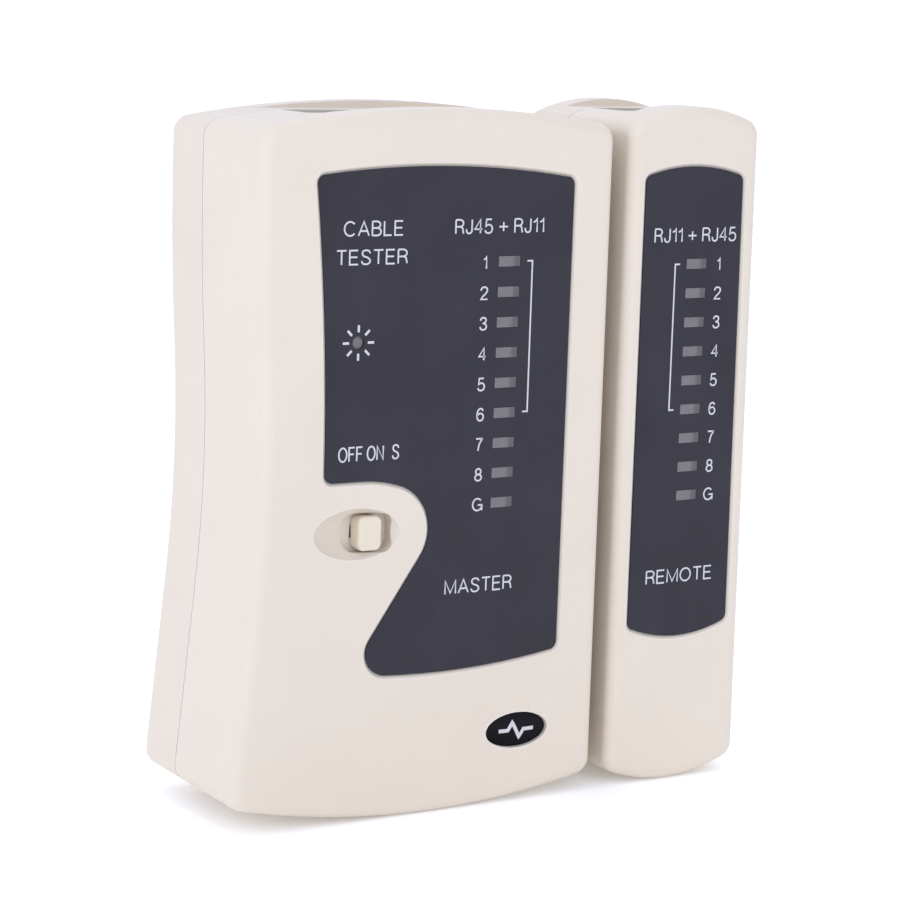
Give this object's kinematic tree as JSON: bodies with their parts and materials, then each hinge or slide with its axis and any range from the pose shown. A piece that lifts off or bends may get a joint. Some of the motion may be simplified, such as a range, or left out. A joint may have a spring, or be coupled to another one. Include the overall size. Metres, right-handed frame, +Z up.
{
  "type": "network cable tester",
  "caption": "Handheld network cable tester: a master unit with indicator column, slide switch, modular sockets and battery door, and a remote unit that slides onto its side rail.",
  "frame": {"origin": "middle of the bounding box's underside, with the tester standing upright on its two arched bottom ends", "axes": "+Z up along the long side, +X to the viewer's right towards the remote unit, +Y from the labelled front to the back"},
  "size_m": [0.0874, 0.03, 0.103],
  "materials": {
    "ivory_case": "fine satin moulded",
    "ivory_rear": "fine satin moulded",
    "knob_ivory": "satin moulded",
    "charcoal_label": "satin printed film",
    "badge_black": "high gloss",
    "led_lens": "diffused translucent",
    "circuit_board": "solder mask",
    "jack_black": "satin",
    "contact_gold": "plated",
    "plated_steel": "plated",
    "screw_steel": "zinc plated",
    "phenolic_brown": "matte",
    "chip_black": "matte",
    "resistor_body": "lacquered",
    "capacitor_sleeve": "shrink sleeve",
    "diode_glass": "glass bead",
    "battery_jacket": "lacquered",
    "snap_black": "moulded",
    "lead_red": "insulation",
    "lead_black": "insulation",
    "foam": "open cell foam"
  },
  "bodies": {
    "master_unit": {"master_front_shell": "ivory_case", "master_rear_shell": "ivory_rear", "master_label": "charcoal_label", "front_badge": "badge_black", "master_circuit_board": "circuit_board", "master_rj45_jack": "jack_black", "master_rj11_jack": "jack_black", "master_rj45_contacts": "contact_gold", "master_rj11_contacts": "contact_gold", "master_indicator_leds": "led_lens", "power_led": "led_lens", "driver_chips": "chip_black", "master_resistors": "resistor_body", "timing_capacitors": "capacitor_sleeve", "switch_frame": "plated_steel", "switch_base": "phenolic_brown", "switch_terminals": "contact_gold", "battery_can": "battery_jacket", "battery_terminals": "plated_steel", "battery_snap_connector": "snap_black", "battery_lead_red": "lead_red", "battery_lead_black": "lead_black", "battery_foam_pad": "foam", "master_case_screws": "screw_steel", "master_board_screws": "screw_steel"},
    "switch_slider": {"switch_knob": "knob_ivory", "switch_actuator": "knob_ivory"},
    "battery_door": {"battery_door": "ivory_rear"},
    "remote_unit": {"remote_front_shell": "ivory_case", "remote_rear_shell": "ivory_rear", "remote_label": "charcoal_label", "remote_circuit_board": "circuit_board", "remote_rj45_jack": "jack_black", "remote_rj11_jack": "jack_black", "remote_rj45_contacts": "contact_gold", "remote_rj11_contacts": "contact_gold", "remote_indicator_leds": "led_lens", "remote_diodes": "diode_glass", "remote_resistors": "resistor_body", "remote_case_screws": "screw_steel", "remote_board_screws": "screw_steel"}
  },
  "joints": [
    {"name": "switch_slide", "type": "slide", "parent": "master_unit", "child": "switch_slider", "axis": [1, 0, 0], "range_m": [-0.0015, 0.0015]},
    {"name": "battery_door_slide", "type": "slide", "parent": "master_unit", "child": "battery_door", "axis": [0, 0, -1], "range_m": [0, 0.058]},
    {"name": "remote_slide", "type": "slide", "parent": "master_unit", "child": "remote_unit", "axis": [0, 0, 1], "range_m": [0, 0.071]}
  ]
}
